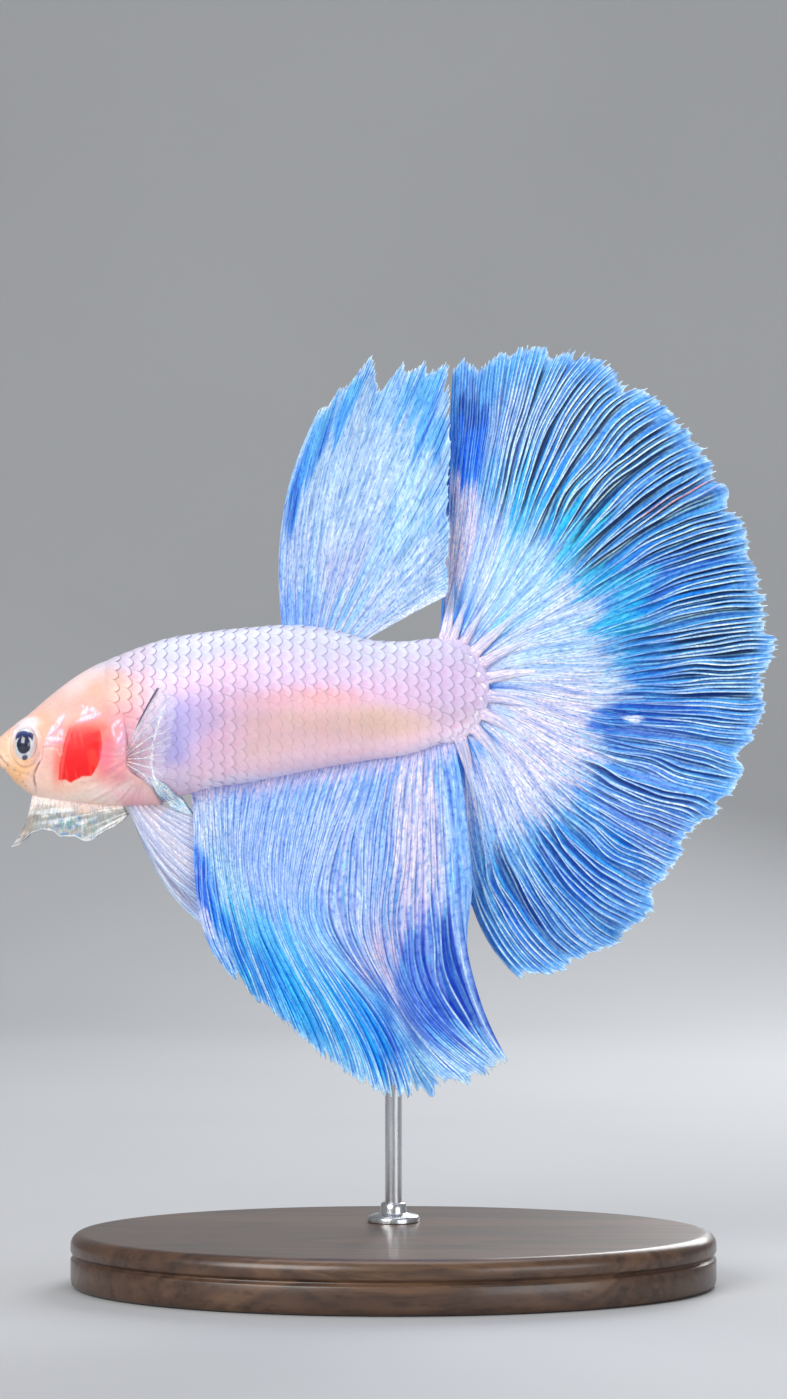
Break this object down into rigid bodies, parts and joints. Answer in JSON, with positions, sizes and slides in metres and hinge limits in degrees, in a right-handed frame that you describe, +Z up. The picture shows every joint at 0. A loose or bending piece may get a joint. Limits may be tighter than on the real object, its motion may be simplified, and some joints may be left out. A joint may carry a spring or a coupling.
{
  "type": "halfmoon betta fish display model",
  "caption": "Life-size male halfmoon betta with white-pink scaled body and flared blue, pleated fins, held by one bent rod over an oval wooden base.",
  "frame": {"origin": "centre of the underside of the stand's base", "axes": "+X towards the tail, +Y towards the fish's right side, +Z up; the fish's left side faces -Y"},
  "size_m": [0.0727, 0.042, 0.0872],
  "materials": {
    "scaled_skin": "moist pearly skin with overlapping white-pink scales",
    "head_skin": "moist peach and yellow head skin with a red gill patch and pale blue flecks",
    "fin": "thin pleated blue and white fin membrane with pale branching rays",
    "clear_fin": "nearly clear pale membrane with fine rays",
    "eye": "clear glossy cornea over a silver-white iris and a dark navy pupil",
    "stand_wood": "dark walnut, satin lacquer, rounded edge",
    "stand_steel": "finely brushed steel rod"
  },
  "bodies": {
    "root": {"head": "head_skin", "lower_jaw": "head_skin", "gill_cover_left": "head_skin", "gill_cover_right": "head_skin", "trunk": "scaled_skin", "tail_root": "scaled_skin", "eye_left": "eye", "eye_right": "eye", "dorsal_fin": "fin", "caudal_fin": "fin", "anal_fin": "fin", "pelvic_fin_left": "fin", "pelvic_fin_right": "fin", "pectoral_fin_left": "clear_fin", "pectoral_fin_right": "clear_fin", "gill_membrane_left": "clear_fin", "gill_membrane_right": "clear_fin", "stand_base": "stand_wood", "stand_rod": "stand_steel"}
  },
  "joints": []
}
